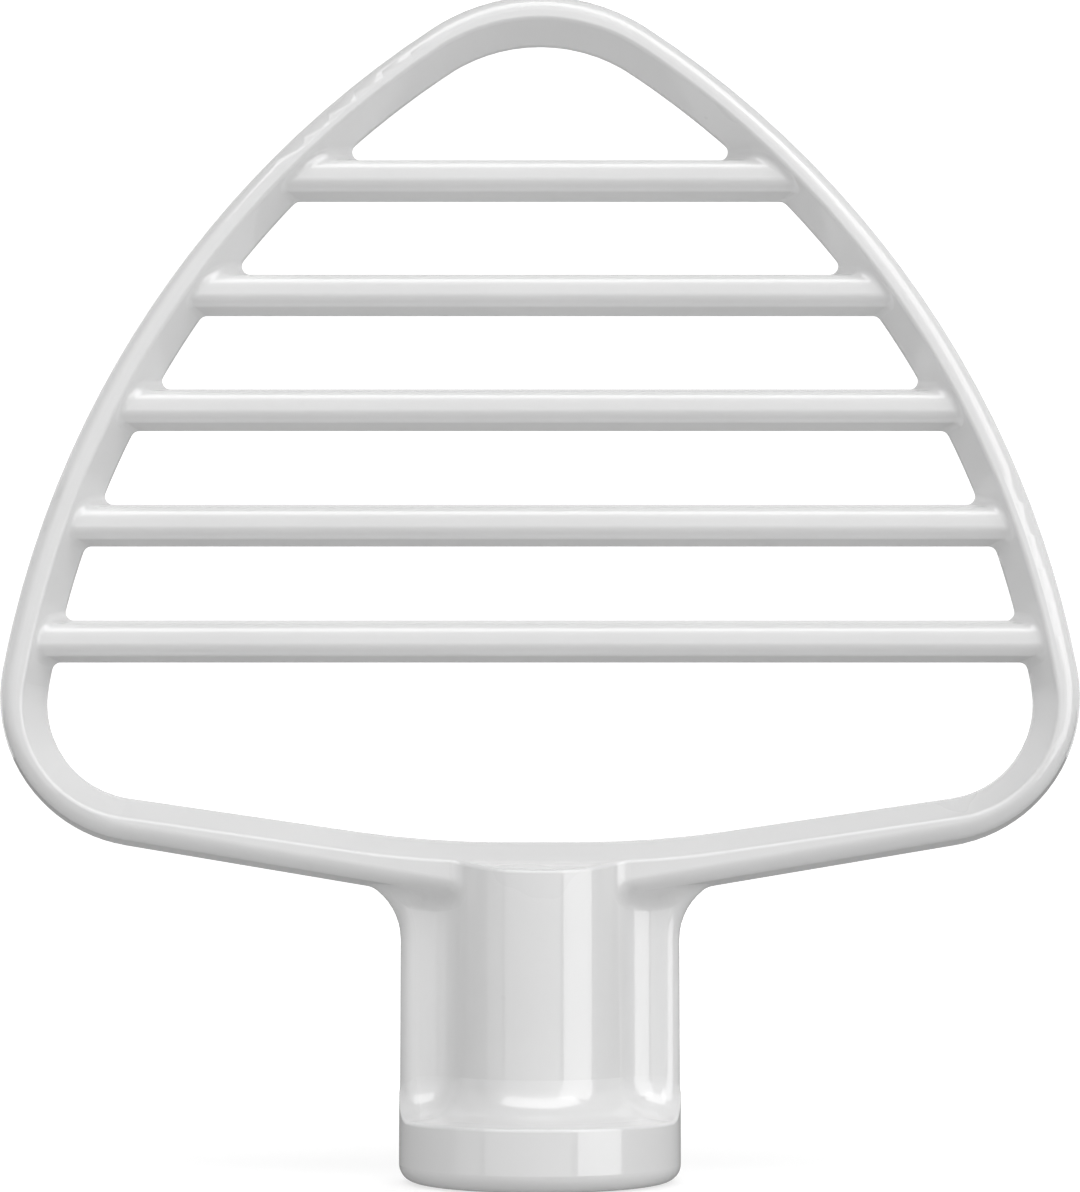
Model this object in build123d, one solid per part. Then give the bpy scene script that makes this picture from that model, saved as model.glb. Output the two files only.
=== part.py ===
from build123d import *
import math
import os

# Beater with cross bars for a stand mixer: one casting, coated white all over.
# It stands on its hub with the nose up. The origin is the middle of the hub's mouth,
# X runs across the loop, Y through its depth and Z along the bore.
# Sizes are in millimetres and degrees.

# Loop, on the parting plane between its front and back halves
width = 127.0
height = 139.7
nose_radius = 23.6
flank_radius = 116.1
corner_radius = 17.8
corner_height = 56.4
arm_slope = 9.5
loop_depth = 10.6
outer_draft = 11.0
outer_round = 2.0
outer_seam_round = 2.0

# Window inside the loop, on the same plane
side_wall = 5.75
nose_wall = 6.1
flank_wall = 6.2
corner_wall = 6.7
corner_drop = 0.9
nose_step = 4.3
inner_draft = 24.5
inner_seam_round = 1.5
ridge_round = 0.5

# Crown, where the arms thicken and meet over the hub
crown_thickness = 8.7
crown_flat = 4.6
crown_blend = 118.0
boss_top_draft = 10.0
boss_top_blend = 6.0

# Cross bars
bar_pitch = 13.7
lowest_bar_rise = 6.4
nose_room = 16.0
bar_height = 5.0
bar_depth = 8.6
bar_draft = 11.0
bar_round = 1.6
bar_seam_round = 1.0
bar_fillet = 1.0

# Hub: a boss round the bore, a rib on each side of it and a collar at the mouth
boss_diameter = 21.0
collar_diameter = 32.8
collar_height = 7.2
collar_slope = 11.0
collar_mouth_round = 2.0
collar_edge_round = 0.4
rib_setback = 0.1
rib_thickness = 4.4
rib_edge_round = 1.9
rib_fillet = 5.4
base_fillet = 4.7
shoulder_radius = 7.2
shoulder_sink = 0.6
arm_fillet = 2.7

# Mouth: a plain bore for the drive shaft and a bayonet for the shaft's cross pin
shaft_diameter = 12.7
bore_clearance = 0.1
bore_depth = 30.0
bore_chamfer = 0.5
pin_diameter = 4.8
pin_clearance = 0.4
pin_reach = 10.2
pin_turn = 70.0

# Worked out from the sizes above
half_depth = loop_depth / 2
slope = math.radians(arm_slope)
boss_radius = boss_diameter / 2
collar_radius = collar_diameter / 2
rib_reach = collar_radius - rib_setback
rib_half = rib_thickness / 2
bore_radius = (shaft_diameter + bore_clearance) / 2
slot_width = pin_diameter + pin_clearance
ledge = collar_height - slot_width
lowest_bar = corner_height + lowest_bar_rise
bar_count = 1 + int((height - nose_room - lowest_bar) / bar_pitch)

# Fillets that share a wall: none takes more of it than wall_share
wall_share = 0.88
rib_edge = min(rib_edge_round, wall_share * rib_half)
rib_flat = rib_reach - rib_edge
hollow_room = (rib_flat**2 - boss_radius**2 + rib_half**2) / (2 * (boss_radius - rib_half))
rib_hollow = min(rib_fillet, wall_share * hollow_room)
foot_fillet = min(base_fillet, wall_share * rib_hollow)
arm_hollow = min(arm_fillet, wall_share * (half_depth - rib_half))
bar_front = bar_height / 2 - bar_depth / 2 * math.tan(math.radians(bar_draft))
bar_edge = min(bar_round, wall_share * bar_front / math.tan(math.radians(45 - bar_draft / 2)))


class Outline:
    """Half of a loop: an arm, a corner arc, a flank arc and a nose arc, each tangent to the next."""

    def __init__(self, width, height, nose_radius, flank_radius, corner_radius, corner_height, arm_slope):
        self.nose = Vector(0, height - nose_radius)
        self.corner = Vector(width / 2 - corner_radius, corner_height)
        self.radii = (nose_radius, flank_radius, corner_radius)
        self.arm_slope = arm_slope
        foot = self.corner + Vector(0, -corner_radius).rotate(Axis.Z, arm_slope)
        self.arm_root = foot.Y - foot.X * math.tan(math.radians(arm_slope))

    def flank(self):
        """Centre of the flank arc, which holds the nose arc and the corner arc inside it."""
        nose_radius, flank_radius, corner_radius = self.radii
        to_nose = flank_radius - nose_radius
        to_corner = flank_radius - corner_radius
        span = (self.corner - self.nose).length
        along = (to_nose**2 - to_corner**2 + span**2) / (2 * span)
        across = math.sqrt(to_nose**2 - along**2)
        direction = (self.corner - self.nose).normalized()
        return self.nose + direction * along + Vector(direction.Y, -direction.X) * across

    def face(self, bottom, inset=0):
        """Face inside the loop and its mirror image, closed by the edges at its bottom."""
        nose_radius, flank_radius, corner_radius = [radius - inset for radius in self.radii]
        flank = self.flank()
        corner_end = bearing(flank, self.corner)
        flank_end = bearing(flank, self.nose)
        foot = self.corner + Vector(0, -corner_radius).rotate(Axis.Z, self.arm_slope)
        half = Curve() + bottom
        half += Line(half @ 1, foot)
        half += CenterArc(self.corner, corner_radius, self.arm_slope - 90, corner_end + 90 - self.arm_slope)
        half += CenterArc(flank, flank_radius, corner_end, flank_end - corner_end)
        half += CenterArc(self.nose, nose_radius, flank_end, 90 - flank_end)
        return Plane.XZ * make_face((half + mirror(half, Plane.YZ)).edges())


def bearing(start, end):
    """Angle of the line from start to end, in degrees from X."""
    return math.degrees(math.atan2(end.Y - start.Y, end.X - start.X))


def slope_under(start, start_radius, end, end_radius):
    """Slope of the line that touches two circles from below, in degrees."""
    lean = math.asin((start_radius - end_radius) / (end - start).length)
    return bearing(start, end) + math.degrees(lean)


loop_outline = Outline(width, height, nose_radius, flank_radius, corner_radius, corner_height, arm_slope)
crown_height = loop_outline.arm_root + crown_thickness
crown_centre = Vector(crown_flat, crown_height + crown_blend)
window_width = width - 2 * side_wall
window_corner_radius = corner_radius - corner_wall
window_corner_height = corner_height - corner_drop
window_corner = Vector(window_width / 2 - window_corner_radius, window_corner_height)
crown_slope = slope_under(crown_centre, crown_blend, window_corner, window_corner_radius)
window_outline = Outline(
    window_width,
    height - nose_wall,
    nose_radius - nose_step,
    flank_radius - flank_wall,
    window_corner_radius,
    window_corner_height,
    crown_slope,
)


def arm_bottom():
    """Underside of the arms at the axis: an arc inside the boss that joins the two arms."""
    radius = boss_radius / 2 / math.sin(slope)
    centre = Vector(0, loop_outline.arm_root + radius / math.cos(slope))
    return CenterArc(centre, radius, 270, arm_slope)


def crown_bottom():
    """Top of the crown: flat over the hub, then an arc that bends up into the arm."""
    flat = Line((0, crown_height), (crown_flat, crown_height))
    return flat + CenterArc(crown_centre, crown_blend, 270, crown_slope)


def seam(solid):
    """Edges of a solid that lie on the parting plane."""
    return [edge for edge in solid.edges() if max(abs((edge @ t).Y) for t in (0, 0.5, 1)) < 0.001]


def blank():
    """The loop before its window is cut: both halves narrow from the parting plane."""
    front = extrude(loop_outline.face(arm_bottom()), half_depth, taper=outer_draft)
    front = fillet(front.faces().sort_by(Axis.Y)[0].edges(), outer_round)
    both = front + mirror(front, Plane.XZ)
    return fillet(seam(both), outer_seam_round)


def window():
    """The space inside the loop, which widens to the front and back and flattens past the frame."""
    inside = extrude(window_outline.face(crown_bottom()), half_depth, taper=-inner_draft)
    beyond = extrude(inside.faces().sort_by(Axis.Y)[0], boss_radius, taper=-boss_top_draft)
    front = inside + beyond
    step = front.edges().filter_by_position(Axis.Y, -half_depth - 0.01, -half_depth + 0.01)
    front = fillet(step, boss_top_blend)
    both = front + mirror(front, Plane.XZ)
    return fillet(seam(both), inner_seam_round)


def rib_section():
    """Level section of the shank: the boss, with a round-edged rib on each side."""
    plain = Circle(boss_radius) + Rectangle(2 * rib_reach, rib_thickness)
    inner_corners = plain.vertices().filter_by(lambda v: abs(v.X) < boss_radius)
    hollowed = fillet(inner_corners, rib_hollow)
    outer_corners = hollowed.vertices().group_by(lambda v: abs(v.X))[-1]
    return fillet(outer_corners, rib_edge)


def hub():
    """Shank and collar, with the shank's foot spread over the collar's top."""
    shank = Pos(0, 0, collar_height / 2) * extrude(rib_section(), crown_height)
    rise = math.tan(math.radians(collar_slope))
    table_radius = collar_radius + collar_height / rise
    table_top = collar_height + (collar_radius - boss_radius / 2) * rise
    table = Cone(table_radius, boss_radius / 2, table_top, align=(Align.CENTER, Align.CENTER, Align.MIN))
    spread = shank + table
    spread = fillet(new_edges(shank, table, combined=spread), foot_fillet)
    turned = extrude(Circle(collar_radius), 2 * crown_height)
    turned = fillet(turned.edges().sort_by(Axis.Z)[0], collar_mouth_round)
    trimmed = spread & turned
    rim = [edge for edge in new_edges(spread, turned, combined=trimmed) if edge.center().Z < crown_height / 2]
    return fillet(rim, collar_edge_round)


def shoulders():
    """Rounded corners that carry the ribs' outer edges out into the undersides of the arms."""
    axis_x = rib_reach + shoulder_radius
    arm_above = loop_outline.arm_root + axis_x * math.tan(slope)
    axis_z = arm_above - (shoulder_radius - shoulder_sink) / math.cos(slope)
    edge_width = 2 * rib_edge
    end = Pos(rib_reach - edge_width / 2, 0) * Rectangle(edge_width, rib_thickness)
    end = fillet(end.vertices().group_by(Axis.X)[-1], rib_edge)
    turn = Axis((axis_x, 0, axis_z), (0, 1, 0))
    right = revolve(Pos(0, 0, axis_z) * end, turn, 90 - arm_slope)
    return right + mirror(right, Plane.YZ)


def bar(level):
    """One cross bar, which narrows to the front and back and ends inside the frame."""
    half = bar_depth / 2
    corners = [(half, bar_front), (0, bar_height / 2), (-half, bar_front)]
    corners += [(-y, -z) for y, z in corners]
    section = Polygon(*corners, align=None)
    front_corners = section.vertices().filter_by(lambda v: abs(v.X) > half / 2)
    section = fillet(front_corners, bar_edge)
    seam_corners = section.vertices().filter_by(lambda v: abs(v.X) < 0.01)
    section = fillet(seam_corners, bar_seam_round)
    length = Pos(0, 0, level) * extrude(Plane.YZ * section, width / 2, both=True)
    return length & extrude(loop_outline.face(arm_bottom(), side_wall / 2), bar_depth, both=True)


def pin_track():
    """Level outline that the shaft's cross pin sweeps as the beater turns on to it."""
    entry = Pos(0, pin_reach / 2) * Rectangle(slot_width, pin_reach)
    sweep = make_face(Curve() + [
        Line((0, 0), (0, pin_reach)),
        CenterArc((0, 0), pin_reach, 90, pin_turn),
        Line((0, 0), Vector(0, pin_reach).rotate(Axis.Z, pin_turn)),
    ])
    return (entry + sweep + Rot(0, 0, pin_turn) * entry) & Circle(pin_reach)


def mouth():
    """The bore, the slot that lets the cross pin in and the groove that it turns in."""
    bore = extrude(Circle(bore_radius), bore_depth)
    lead_in = Pos(0, 0, bore_chamfer / 2) * Cone(bore_radius + bore_chamfer, bore_radius, bore_chamfer)
    slot = extrude(Pos(0, pin_reach / 2) * Rectangle(slot_width, pin_reach), collar_height)
    groove = Pos(0, 0, ledge) * extrude(pin_track(), slot_width)
    return bore + lead_in + slot + groove


def beater():
    """The whole casting: loop and hub blended, window cut, bars set in and the mouth bored."""
    loop = blank()
    root = hub() + shoulders()
    plate = loop + root
    plate = fillet(new_edges(loop, root, combined=plate), arm_hollow)
    opening = window()
    frame = plate - opening
    frame = fillet(new_edges(plate, opening, combined=frame), ridge_round)
    bars = [bar(lowest_bar + step * bar_pitch) for step in range(bar_count)]
    grid = frame + bars
    grid = fillet(new_edges(frame, *bars, combined=grid), bar_fillet)
    return grid - mouth()


os.makedirs("parts", exist_ok=True)
export_step(beater(), "parts/beater.step")
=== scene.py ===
import math

import bmesh
import bpy
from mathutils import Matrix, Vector


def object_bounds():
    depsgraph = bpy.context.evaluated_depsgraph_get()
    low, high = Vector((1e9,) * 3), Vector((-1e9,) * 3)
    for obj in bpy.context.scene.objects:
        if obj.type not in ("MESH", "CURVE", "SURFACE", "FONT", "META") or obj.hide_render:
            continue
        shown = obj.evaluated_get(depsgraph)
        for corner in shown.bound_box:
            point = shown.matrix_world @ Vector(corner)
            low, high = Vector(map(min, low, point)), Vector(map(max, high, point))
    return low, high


# A coated beater with cross bars stands on its hub on a white sweep, seen from the front.
# Lengths are in metres and angles in degrees. Azimuth turns from the camera's side, -Y, towards +X.

# Camera
camera_distance = 0.400
camera_height = 0.0395
camera_tilt = 4.1
camera_lens = 102.8

# Sweep: a floor that bends up into a wall behind the beater. It lies just below the end of the hub. sweep_glow is the
# light that it gives off. sweep_lift is how far it is lifted to white where it is seen, near the beater and further
# off. It is lower near the beater, so that the shadow shows.
sweep_width = 6.0
sweep_front = -3.0
sweep_drop = 0.0001
sweep_back = 1.6
sweep_bend = 0.6
sweep_height = 3.0
sweep_steps = 24
sweep_white = 0.40
sweep_glow = 0.22
sweep_lift = (0.64, 1.0)
sweep_lift_reach = (0.03, 0.30)

# Softboxes and cards: the ranges of azimuth and elevation that each fills as seen from the beater, and its
# brightness, where 1 is white. Softboxes light the coat. Cards stand where the gloss mirrors them, and those in front
# reach below the level of the floor, so that the hub's upright faces mirror them too.
light_distance = 1.2
softboxes = {
    "front": {"azimuth": (-50, 50), "elevation": (5, 44), "brightness": 0.86},
    "overhead": {"azimuth": (-55, 55), "elevation": (45, 75), "brightness": 1.90},
    "right": {"azimuth": (50, 90), "elevation": (-3, 44), "brightness": 1.56},
    "left": {"azimuth": (-90, -50), "elevation": (-3, 44), "brightness": 0.40},
    "rear": {"azimuth": (140, 220), "elevation": (0, 35), "brightness": 1.40},
    "rear_top": {"azimuth": (120, 240), "elevation": (35, 70), "brightness": 1.10},
}
cards = {
    "key_card": {"azimuth": (28.4, 70.9), "elevation": (-14, 44), "brightness": 2.92},
    "front_card": {"azimuth": (-48, 28), "elevation": (-14, 44), "brightness": 1.08},
    "side_card": {"azimuth": (-72, -48), "elevation": (-14, 44), "brightness": 0.62},
    "top_card": {"azimuth": (-55, 55), "elevation": (44, 75), "brightness": 3.40},
}

# Room: even light from all round
room_brightness = 0.17

# Surround: the studio that the gloss mirrors beyond the cards, paler behind and fading upwards there
surround_radius = 1.8
surround_segments = (72, 36)
surround_brightness = 0.25
surround_rear_brightness = 0.75
surround_rear_fade = (25, 58)

# Coat: the clouds vary its white and the roughness below the gloss, and the peel is a fine ripple
noise_range = (0.3, 0.7)
coat_white = 0.80
coat_shade = 0.77
coat_gloss = 0.25
coat_roughness = (0.26, 0.36)
coat_gloss_roughness = 0.06
coat_cloud_size = 0.030
coat_cloud_detail = 3
coat_peel_size = 0.0022
coat_peel_detail = 2
coat_peel_height = 0.000004


def nodes_of(material):
    """Node tree of a material, emptied."""
    material.use_nodes = True
    material.node_tree.nodes.clear()
    return material.node_tree.nodes, material.node_tree.links


def noise(nodes, links, coordinates, size, detail):
    """Noise texture whose blobs are about as wide as size."""
    texture = nodes.new("ShaderNodeTexNoise")
    texture.inputs["Scale"].default_value = 1 / size
    texture.inputs["Detail"].default_value = detail
    links.new(coordinates.outputs["Object"], texture.inputs["Vector"])
    return texture


def spread(nodes, links, texture, low, high):
    """Noise spread over the values from low to high."""
    span = nodes.new("ShaderNodeMapRange")
    span.inputs["From Min"].default_value = noise_range[0]
    span.inputs["From Max"].default_value = noise_range[1]
    span.inputs["To Min"].default_value = low
    span.inputs["To Max"].default_value = high
    links.new(texture.outputs["Fac"], span.inputs["Value"])
    return span


def coat_material():
    """Glossy white coat, with the faint clouding and ripple of a sprayed and baked finish."""
    material = bpy.data.materials.new("coat")
    nodes, links = nodes_of(material)
    coordinates = nodes.new("ShaderNodeTexCoord")
    cloud = noise(nodes, links, coordinates, coat_cloud_size, coat_cloud_detail)
    peel = noise(nodes, links, coordinates, coat_peel_size, coat_peel_detail)

    white = nodes.new("ShaderNodeCombineColor")
    shade = spread(nodes, links, cloud, coat_shade, coat_white)
    for channel in ("Red", "Green", "Blue"):
        links.new(shade.outputs["Result"], white.inputs[channel])

    ripple = nodes.new("ShaderNodeBump")
    ripple.inputs["Strength"].default_value = 1.0
    ripple.inputs["Distance"].default_value = coat_peel_height
    links.new(peel.outputs["Fac"], ripple.inputs["Height"])

    surface = nodes.new("ShaderNodeBsdfPrincipled")
    surface.inputs["Specular IOR Level"].default_value = coat_gloss
    surface.inputs["Coat Weight"].default_value = 1.0
    surface.inputs["Coat Roughness"].default_value = coat_gloss_roughness
    links.new(white.outputs["Color"], surface.inputs["Base Color"])
    roughness = spread(nodes, links, cloud, *coat_roughness)
    links.new(roughness.outputs["Result"], surface.inputs["Roughness"])
    links.new(ripple.outputs["Normal"], surface.inputs["Normal"])
    links.new(ripple.outputs["Normal"], surface.inputs["Coat Normal"])

    output = nodes.new("ShaderNodeOutputMaterial")
    links.new(surface.outputs["BSDF"], output.inputs["Surface"])
    return material


def seen_directly(nodes, links):
    """1 for what the camera sees itself, in a gloss or through glass, and 0 for light that falls on things."""
    path = nodes.new("ShaderNodeLightPath")
    either = nodes.new("ShaderNodeMath")
    either.operation = "MAXIMUM"
    links.new(path.outputs["Is Camera Ray"], either.inputs[0])
    links.new(path.outputs["Is Glossy Ray"], either.inputs[1])
    any_of = nodes.new("ShaderNodeMath")
    any_of.operation = "MAXIMUM"
    links.new(either.outputs["Value"], any_of.inputs[0])
    links.new(path.outputs["Is Transmission Ray"], any_of.inputs[1])
    return any_of


def sweep_material():
    """Matt white paper that looks white to the camera and still takes the beater's shadow."""
    material = bpy.data.materials.new("sweep")
    nodes, links = nodes_of(material)
    place = nodes.new("ShaderNodeNewGeometry")
    distance = nodes.new("ShaderNodeVectorMath")
    distance.operation = "LENGTH"
    links.new(place.outputs["Position"], distance.inputs[0])
    lift = nodes.new("ShaderNodeMapRange")
    lift.inputs["From Min"].default_value = sweep_lift_reach[0]
    lift.inputs["From Max"].default_value = sweep_lift_reach[1]
    lift.inputs["To Min"].default_value = sweep_lift[0]
    lift.inputs["To Max"].default_value = sweep_lift[1]
    links.new(distance.outputs["Value"], lift.inputs["Value"])
    glow = nodes.new("ShaderNodeMapRange")
    glow.inputs["To Min"].default_value = sweep_glow
    links.new(lift.outputs["Result"], glow.inputs["To Max"])
    links.new(seen_directly(nodes, links).outputs["Value"], glow.inputs["Value"])
    paper = nodes.new("ShaderNodeBsdfPrincipled")
    paper.inputs["Base Color"].default_value = (sweep_white, sweep_white, sweep_white, 1)
    paper.inputs["Roughness"].default_value = 1.0
    paper.inputs["Specular IOR Level"].default_value = 0.0
    paper.inputs["Emission Color"].default_value = (1, 1, 1, 1)
    links.new(glow.outputs["Result"], paper.inputs["Emission Strength"])
    output = nodes.new("ShaderNodeOutputMaterial")
    links.new(paper.outputs["BSDF"], output.inputs["Surface"])
    return material


def make_sweep():
    """Floor, bend and wall in one sheet."""
    profile = [(sweep_front, 0.0)]
    for step in range(sweep_steps + 1):
        turn = math.pi / 2 * step / sweep_steps
        profile.append((sweep_back + sweep_bend * math.sin(turn), sweep_bend * (1 - math.cos(turn))))
    profile.append((sweep_back + sweep_bend, sweep_height))
    sheet = bmesh.new()
    rows = [[sheet.verts.new((side * sweep_width / 2, y, z)) for side in (-1, 1)] for y, z in profile]
    for (left, right), (next_left, next_right) in zip(rows, rows[1:]):
        sheet.faces.new((left, right, next_right, next_left)).smooth = True
    mesh = bpy.data.meshes.new("sweep")
    sheet.to_mesh(mesh)
    sheet.free()
    sweep = bpy.data.objects.new("sweep", mesh)
    sweep.location.z = -sweep_drop
    sweep.data.materials.append(sweep_material())
    sweep.visible_glossy = False
    bpy.context.scene.collection.objects.link(sweep)


def glow_material(name, brightness):
    """White glow that fades upwards to the dim level of the surround."""
    material = bpy.data.materials.new(name)
    nodes, links = nodes_of(material)
    place = nodes.new("ShaderNodeNewGeometry")
    split = nodes.new("ShaderNodeSeparateXYZ")
    links.new(place.outputs["Position"], split.inputs["Vector"])
    low, high = [surround_radius * math.sin(math.radians(angle)) for angle in surround_rear_fade]
    fade = nodes.new("ShaderNodeMapRange")
    fade.interpolation_type = "SMOOTHSTEP"
    fade.inputs["From Min"].default_value = low
    fade.inputs["From Max"].default_value = high
    fade.inputs["To Min"].default_value = brightness
    fade.inputs["To Max"].default_value = surround_brightness
    links.new(split.outputs["Z"], fade.inputs["Value"])
    glow = nodes.new("ShaderNodeEmission")
    links.new(fade.outputs["Result"], glow.inputs["Strength"])
    output = nodes.new("ShaderNodeOutputMaterial")
    links.new(glow.outputs["Emission"], output.inputs["Surface"])
    return material


def make_surround():
    """Dim studio round the set, pale behind. Only the gloss mirrors it: light passes through it."""
    shell = bmesh.new()
    around, upwards = surround_segments
    bmesh.ops.create_uvsphere(shell, u_segments=around, v_segments=upwards, radius=surround_radius)
    for face in shell.faces:
        centre = face.calc_center_median()
        face.material_index = 1 if centre.y > 0 and centre.z > 0 else 0
    mesh = bpy.data.meshes.new("surround")
    shell.to_mesh(mesh)
    shell.free()
    surround = bpy.data.objects.new("surround", mesh)
    surround.data.materials.append(glow_material("surround", surround_brightness))
    surround.data.materials.append(glow_material("surround_rear", surround_rear_brightness))
    surround.visible_camera = False
    surround.visible_diffuse = False
    surround.visible_transmission = False
    surround.visible_shadow = False
    bpy.context.scene.collection.objects.link(surround)


def make_lamp(name, azimuth, elevation, brightness):
    """Rectangular lamp that faces the middle of the beater."""
    turn, rise = [math.radians(sum(span) / 2) for span in (azimuth, elevation)]
    half_turn, half_rise = [math.radians(span[1] - span[0]) / 2 for span in (azimuth, elevation)]
    light = bpy.data.lights.new(name, "AREA")
    light.shape = "RECTANGLE"
    light.size = 2 * light_distance * math.tan(half_turn) * math.cos(rise)
    light.size_y = 2 * light_distance * math.tan(half_rise)
    light.energy = brightness * math.pi * light.size * light.size_y
    out = Vector((math.sin(turn) * math.cos(rise), -math.cos(turn) * math.cos(rise), math.sin(rise)))
    lamp = bpy.data.objects.new(name, light)
    lamp.location = middle + out * light_distance
    lamp.rotation_euler = out.to_track_quat("Z", "Y").to_euler()
    lamp.visible_camera = False
    bpy.context.scene.collection.objects.link(lamp)
    return lamp


def make_room():
    """White surroundings, bright where they are seen and dimmer where they light the beater."""
    world = bpy.data.worlds.new("room")
    world.use_nodes = True
    nodes, links = world.node_tree.nodes, world.node_tree.links
    nodes.clear()
    level = nodes.new("ShaderNodeMapRange")
    level.inputs["To Min"].default_value = room_brightness
    level.inputs["To Max"].default_value = 1.0
    links.new(seen_directly(nodes, links).outputs["Value"], level.inputs["Value"])
    glow = nodes.new("ShaderNodeBackground")
    glow.inputs["Color"].default_value = (1, 1, 1, 1)
    links.new(level.outputs["Result"], glow.inputs["Strength"])
    output = nodes.new("ShaderNodeOutputWorld")
    links.new(glow.outputs["Background"], output.inputs["Surface"])
    bpy.context.scene.world = world


def make_camera():
    """Camera straight in front of the beater, a little above its hub's collar and tilted up."""
    lens = bpy.data.cameras.new("camera")
    lens.lens = camera_lens
    camera = bpy.data.objects.new("camera", lens)
    camera.location = (0, -camera_distance, camera_height)
    camera.rotation_euler = (math.radians(90 + camera_tilt), 0, 0)
    bpy.context.scene.collection.objects.link(camera)
    bpy.context.scene.camera = camera


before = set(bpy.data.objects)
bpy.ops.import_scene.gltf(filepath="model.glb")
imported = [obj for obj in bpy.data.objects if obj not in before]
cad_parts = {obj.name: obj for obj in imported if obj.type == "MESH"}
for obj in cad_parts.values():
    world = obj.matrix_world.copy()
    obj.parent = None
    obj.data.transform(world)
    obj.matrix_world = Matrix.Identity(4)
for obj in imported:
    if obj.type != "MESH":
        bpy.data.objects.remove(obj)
cad_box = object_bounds()
middle = (cad_box[0] + cad_box[1]) / 2

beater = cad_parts["beater"]
beater.data.materials.clear()
beater.data.materials.append(coat_material())

make_sweep()
make_surround()
for name, place in softboxes.items():
    make_lamp(name, **place).visible_glossy = False
for name, place in cards.items():
    make_lamp(name, **place).visible_diffuse = False
make_room()
make_camera()
bpy.context.scene.view_settings.view_transform = "Standard"
